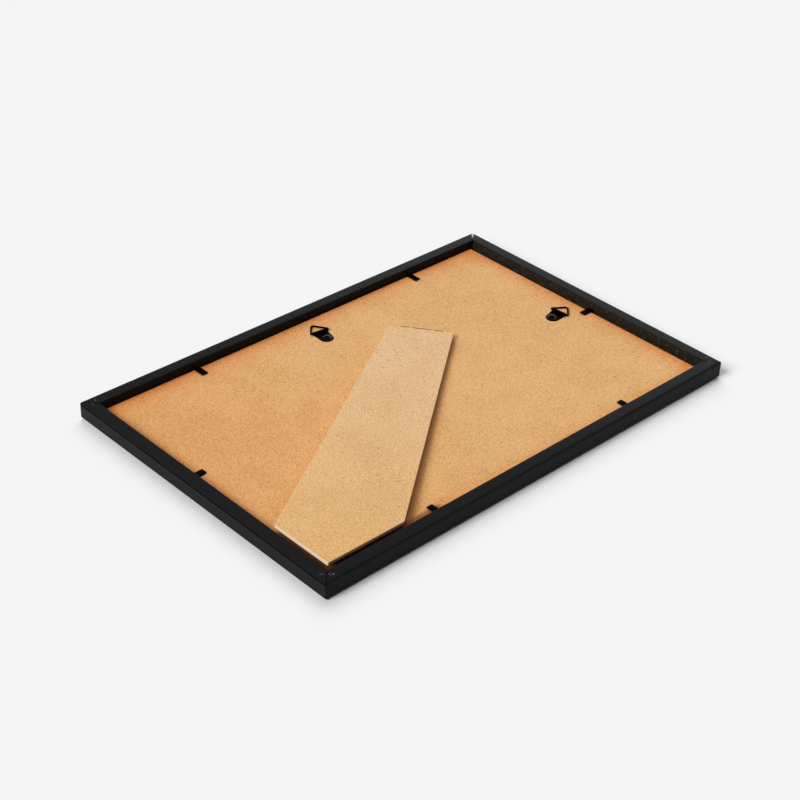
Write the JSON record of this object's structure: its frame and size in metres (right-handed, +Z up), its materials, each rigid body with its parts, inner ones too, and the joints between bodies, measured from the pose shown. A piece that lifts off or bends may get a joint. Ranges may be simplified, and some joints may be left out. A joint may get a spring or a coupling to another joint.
{
  "type": "easel back photo frame",
  "caption": "Slim black rectangular photo frame, seen from its fibreboard back, with a hinged diagonal easel strut, wire ring hangers and bendable tabs that hold the back in.",
  "frame": {"origin": "middle of the frame's outline, on the plane of its front face, which lies down", "axes": "+X along the long side towards the upright hanger, +Y along the short side, +Z up out of the back"},
  "size_m": [0.316, 0.21, 0.0126],
  "materials": {
    "black_foil_moulding": "satin",
    "wedge_steel": "satin",
    "clear_glass": "polished",
    "insert_paper": "matte",
    "fibreboard": "matte",
    "strut_board": "matte",
    "hinge_steel": "satin",
    "black_steel": "satin"
  },
  "bodies": {
    "frame": {"long_rail_top": "black_foil_moulding", "long_rail_bottom": "black_foil_moulding", "short_rail_top": "black_foil_moulding", "short_rail_bottom": "black_foil_moulding", "corner_wedges": "wedge_steel", "glazing": "clear_glass", "picture_insert": "insert_paper", "backing_board": "fibreboard", "hinge_board_leaf": "hinge_steel", "hinge_pin": "hinge_steel", "hanger_plate_long": "black_steel", "hanger_plate_short": "black_steel", "hanger_rivet_long": "black_steel", "hanger_rivet_short": "black_steel", "tab_shank_long_rail_top_1": "black_steel", "tab_shank_long_rail_top_2": "black_steel", "tab_shank_long_rail_bottom_1": "black_steel", "tab_shank_long_rail_bottom_2": "black_steel", "tab_shank_short_rail_top_1": "black_steel", "tab_shank_short_rail_bottom_1": "black_steel"},
    "strut": {"strut": "strut_board", "hinge_strut_leaf": "hinge_steel"},
    "ring_long": {"hanger_ring_long": "black_steel"},
    "ring_short": {"hanger_ring_short": "black_steel"},
    "tab_long_rail_top_1": {"tab_blade_long_rail_top_1": "black_steel"},
    "tab_long_rail_top_2": {"tab_blade_long_rail_top_2": "black_steel"},
    "tab_long_rail_bottom_1": {"tab_blade_long_rail_bottom_1": "black_steel"},
    "tab_long_rail_bottom_2": {"tab_blade_long_rail_bottom_2": "black_steel"},
    "tab_short_rail_top_1": {"tab_blade_short_rail_top_1": "black_steel"},
    "tab_short_rail_bottom_1": {"tab_blade_short_rail_bottom_1": "black_steel"}
  },
  "joints": [
    {"name": "strut_hinge", "type": "hinge", "parent": "frame", "child": "strut", "pos_m": [0.04905, 0.04125, 0.00725], "axis": [-0.6053, 0.796, 0], "range_deg": [-1, 39]},
    {"name": "ring_swing_long", "type": "hinge", "parent": "frame", "child": "ring_long", "pos_m": [0.00047, 0.08028, 0.00703], "axis": [0.9903, -0.1392, 0], "range_deg": [0, 160]},
    {"name": "ring_swing_short", "type": "hinge", "parent": "frame", "child": "ring_short", "pos_m": [0.13108, 0.00172, 0.00703], "axis": [0.1392, -0.9903, 0], "range_deg": [0, 160]},
    {"name": "tab_bend_long_rail_top_1", "type": "hinge", "parent": "frame", "child": "tab_long_rail_top_1", "pos_m": [-0.08179, 0.09703, 0.00647], "axis": [-1, 0, 0], "range_deg": [0, 88]},
    {"name": "tab_bend_long_rail_top_2", "type": "hinge", "parent": "frame", "child": "tab_long_rail_top_2", "pos_m": [0.09126, 0.09703, 0.00647], "axis": [-1, 0, 0], "range_deg": [0, 88]},
    {"name": "tab_bend_long_rail_bottom_1", "type": "hinge", "parent": "frame", "child": "tab_long_rail_bottom_1", "pos_m": [0.08352, -0.09703, 0.00647], "axis": [1, 0, 0], "range_deg": [0, 88]},
    {"name": "tab_bend_long_rail_bottom_2", "type": "hinge", "parent": "frame", "child": "tab_long_rail_bottom_2", "pos_m": [-0.07066, -0.09703, 0.00647], "axis": [1, 0, 0], "range_deg": [0, 88]},
    {"name": "tab_bend_short_rail_top_1", "type": "hinge", "parent": "frame", "child": "tab_short_rail_top_1", "pos_m": [0.15002, -0.00847, 0.00647], "axis": [0, 1, 0], "range_deg": [0, 88]},
    {"name": "tab_bend_short_rail_bottom_1", "type": "hinge", "parent": "frame", "child": "tab_short_rail_bottom_1", "pos_m": [-0.15002, 0.01304, 0.00647], "axis": [0, -1, 0], "range_deg": [0, 88]}
  ]
}
